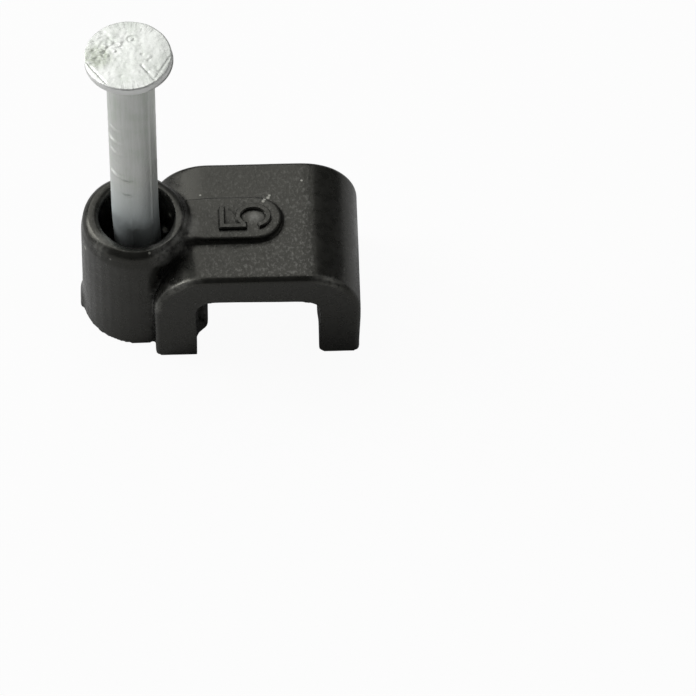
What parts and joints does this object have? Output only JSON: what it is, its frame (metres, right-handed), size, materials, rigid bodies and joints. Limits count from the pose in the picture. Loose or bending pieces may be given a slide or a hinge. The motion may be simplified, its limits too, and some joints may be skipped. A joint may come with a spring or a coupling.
{
  "type": "nail-in cable clip",
  "caption": "Moulded plastic saddle clip that bridges a round cable on a wall, with a drafted boss at one side holding the steel nail that fixes it.",
  "frame": {"origin": "on the nail's axis, in the plane of the wall that the two legs stand on", "axes": "+Z along the nail from the wall to its head, +X from the nail boss across the channel to the free leg, +Y along the cable"},
  "size_m": [0.012, 0.0064, 0.017],
  "materials": {
    "black_plastic": "satin black moulding with a fine mottled surface",
    "plated_steel": "dull zinc plate with a faint warm tint"
  },
  "bodies": {
    "root": {"clip_body": "black_plastic", "nail": "plated_steel"}
  },
  "joints": []
}
